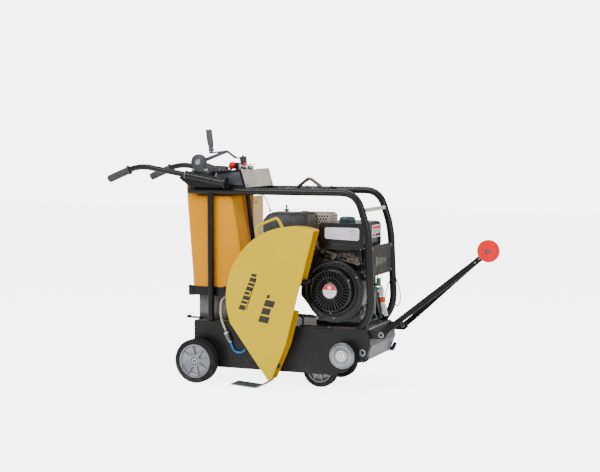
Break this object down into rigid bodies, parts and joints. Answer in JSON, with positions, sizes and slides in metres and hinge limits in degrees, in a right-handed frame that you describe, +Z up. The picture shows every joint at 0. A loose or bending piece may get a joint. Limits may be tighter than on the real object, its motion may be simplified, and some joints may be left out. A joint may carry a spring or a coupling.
{
  "type": "walk-behind concrete saw",
  "caption": "Walk-behind concrete saw: wheeled steel chassis and tube frame, water tank, petrol engine, belt-driven spindle, swing-up blade guard, crank depth control and folding front guide.",
  "frame": {"origin": "middle of the footprint's bounding box, on the ground", "axes": "+X forwards, the way the saw cuts; +Y to the operator's left; +Z up"},
  "size_m": [1.8117, 0.538, 1.1527],
  "materials": {
    "frame_paint": "black powder coat, gloss",
    "panel_paint": "beige paint, heat-stained bare steel on the exhaust side",
    "tank_plastic": "orange-yellow rotomoulded plastic",
    "guard_paint": "bright yellow gloss",
    "zinc": "zinc plated",
    "grip_rubber": "ribbed grey rubber",
    "tyre_rubber": "solid black rubber",
    "rim_cast": "silver cast",
    "red_plastic": "red moulded plastic",
    "engine_paint": "black gloss",
    "black_plastic": "dark blue-grey plastic",
    "blue_rubber": "blue hose",
    "clear_pvc": "cloudy clear hose"
  },
  "bodies": {
    "frame": {"chassis": "frame_paint", "side_frame_right": "frame_paint", "side_frame_left": "frame_paint", "cross_bar": "panel_paint", "front_plate": "frame_paint", "lifting_bracket": "frame_paint", "console": "frame_paint", "console_front_panel": "panel_paint", "handle_socket_right": "frame_paint", "handle_socket_left": "frame_paint", "throttle_base": "black_plastic", "screw_jacket": "frame_paint", "water_tank": "tank_plastic", "tank_tray": "frame_paint", "heat_shield": "panel_paint", "supply_hose": "clear_pvc", "quick_connector": "zinc", "blue_hose": "blue_rubber", "rear_axle": "zinc", "drive_belt": "tyre_rubber", "belt_guard": "frame_paint", "guard_pivot_bolt": "zinc", "engine_block": "engine_paint", "fan_shroud": "engine_paint", "recoil_cover": "engine_paint", "fuel_tank": "engine_paint", "air_cleaner": "black_plastic", "muffler": "panel_paint", "throttle_cable": "black_plastic"},
    "right_handlebar": {"handlebar_right": "frame_paint", "grip_right": "grip_rubber"},
    "left_handlebar": {"handlebar_left": "frame_paint", "grip_left": "grip_rubber"},
    "throttle_lever": {"throttle_lever": "black_plastic"},
    "crank": {"crank_arm": "black_plastic", "depth_screw": "zinc"},
    "crank_grip": {"crank_grip": "grip_rubber"},
    "screw_nut": {"screw_nut": "zinc"},
    "swing": {"swing_frame": "frame_paint"},
    "front_right_wheel": {"front_right_rim": "rim_cast", "front_right_tyre": "tyre_rubber"},
    "front_left_wheel": {"front_left_rim": "rim_cast", "front_left_tyre": "tyre_rubber"},
    "rear_right_wheel": {"rear_right_rim": "rim_cast", "rear_right_tyre": "tyre_rubber"},
    "rear_left_wheel": {"rear_left_rim": "rim_cast", "rear_left_tyre": "tyre_rubber"},
    "stop_button": {"stop_button": "red_plastic"},
    "water_valve_lever": {"water_valve_lever": "red_plastic"},
    "tank_cap": {"tank_cap": "black_plastic"},
    "fuel_cap": {"fuel_cap": "black_plastic"},
    "recoil_grip": {"recoil_grip": "black_plastic"},
    "guard": {"blade_guard": "guard_paint", "foot_plate": "zinc"},
    "guide_arm": {"guide_arm": "frame_paint"},
    "guide_wheel": {"guide_wheel": "red_plastic"},
    "spindle": {"spindle": "zinc", "outer_flange": "zinc"},
    "engine_pulley": {"engine_pulley": "zinc"},
    "brake_pedal": {"brake_pedal": "frame_paint"}
  },
  "joints": [
    {"name": "right_handlebar_slide", "type": "slide", "parent": "frame", "child": "right_handlebar", "axis": [-0.9854, 0, 0.1705], "range_m": [0, 0.12]},
    {"name": "left_handlebar_slide", "type": "slide", "parent": "frame", "child": "left_handlebar", "axis": [-0.9854, 0, 0.1705], "range_m": [0, 0.12]},
    {"name": "throttle_turn", "type": "hinge", "parent": "frame", "child": "throttle_lever", "pos_m": [-0.4432, -0.16, 1.002], "axis": [0, -1, 0], "range_deg": [0, 70]},
    {"name": "crank_turn", "type": "hinge", "parent": "frame", "child": "crank", "pos_m": [-0.3062, 0.013, 1.003], "axis": [-0.1305, 0, 0.9914], "range_deg": [0, 5400]},
    {"name": "crank_grip_spin", "type": "hinge", "parent": "crank", "child": "crank_grip", "pos_m": [-0.477, 0.013, 1.09752], "axis": [-0.1305, 0, 0.9914], "continuous": true},
    {"name": "screw_nut_slide", "type": "slide", "parent": "frame", "child": "screw_nut", "axis": [-0.1305, 0, 0.9914], "range_m": [0, 0.0751]},
    {"name": "front_axle_swing", "type": "hinge", "parent": "frame", "child": "swing", "pos_m": [-0.0532, 0.013, 0.165], "axis": [0, 1, 0], "range_deg": [0, 28.01]},
    {"name": "front_right_wheel_spin", "type": "hinge", "parent": "swing", "child": "front_right_wheel", "pos_m": [0.1248, -0.105, 0.08], "axis": [0, 1, 0], "continuous": true},
    {"name": "front_left_wheel_spin", "type": "hinge", "parent": "swing", "child": "front_left_wheel", "pos_m": [0.1248, 0.155, 0.08], "axis": [0, 1, 0], "continuous": true},
    {"name": "rear_right_wheel_spin", "type": "hinge", "parent": "frame", "child": "rear_right_wheel", "pos_m": [-0.4382, -0.217, 0.1], "axis": [0, 1, 0], "continuous": true},
    {"name": "rear_left_wheel_spin", "type": "hinge", "parent": "frame", "child": "rear_left_wheel", "pos_m": [-0.4382, 0.243, 0.1], "axis": [0, 1, 0], "continuous": true},
    {"name": "stop_button_press", "type": "slide", "parent": "frame", "child": "stop_button", "axis": [1, 0, 0], "range_m": [0, 0.004], "stiffness_N_per_m": 800},
    {"name": "water_valve_turn", "type": "hinge", "parent": "frame", "child": "water_valve_lever", "pos_m": [-0.2702, -0.047, 0.99], "axis": [0, 0, 1], "range_deg": [0, 90]},
    {"name": "tank_cap_turn", "type": "hinge", "parent": "frame", "child": "tank_cap", "pos_m": [-0.5102, 0.013, 0.915], "axis": [0, 0, 1], "range_deg": [0, 360]},
    {"name": "fuel_cap_turn", "type": "hinge", "parent": "frame", "child": "fuel_cap", "pos_m": [0.2168, -0.017, 0.75], "axis": [0, 0, 1], "range_deg": [0, 90]},
    {"name": "recoil_grip_pull", "type": "slide", "parent": "frame", "child": "recoil_grip", "axis": [-0.8, 0, 0.6], "range_m": [0, 0.3], "stiffness_N_per_m": 40},
    {"name": "guard_swing", "type": "hinge", "parent": "frame", "child": "guard", "pos_m": [-0.0502, -0.217, 0.097], "axis": [0, 1, 0], "range_deg": [0, 59.7]},
    {"name": "guide_arm_fold", "type": "hinge", "parent": "frame", "child": "guide_arm", "pos_m": [0.4248, 0.013, 0.257], "axis": [0, 1, 0], "range_deg": [-45, 61.5]},
    {"name": "guide_wheel_spin", "type": "hinge", "parent": "guide_arm", "child": "guide_wheel", "pos_m": [0.85691, 0, 0.62411], "axis": [0, 1, 0], "continuous": true},
    {"name": "spindle_spin", "type": "hinge", "parent": "frame", "child": "spindle", "pos_m": [0.2638, 0.013, 0.164], "axis": [0, 1, 0], "continuous": true},
    {"name": "engine_pulley_spin", "type": "hinge", "parent": "frame", "child": "engine_pulley", "pos_m": [0.1898, 0.013, 0.44], "axis": [0, 1, 0], "continuous": true},
    {"name": "brake_pedal_press", "type": "hinge", "parent": "frame", "child": "brake_pedal", "pos_m": [-0.4682, -0.112, 0.282], "axis": [0, -1, 0], "range_deg": [0, 12], "stiffness_Nm_per_rad": 3}
  ],
  "couplings": [
    {"joint": "front_axle_swing", "follows": "crank_turn", "ratio": 0.0051852},
    {"joint": "screw_nut_slide", "follows": "crank_turn", "m_per_rad": 0.00079577},
    {"joint": "engine_pulley_spin", "follows": "spindle_spin", "ratio": 0.875}
  ]
}
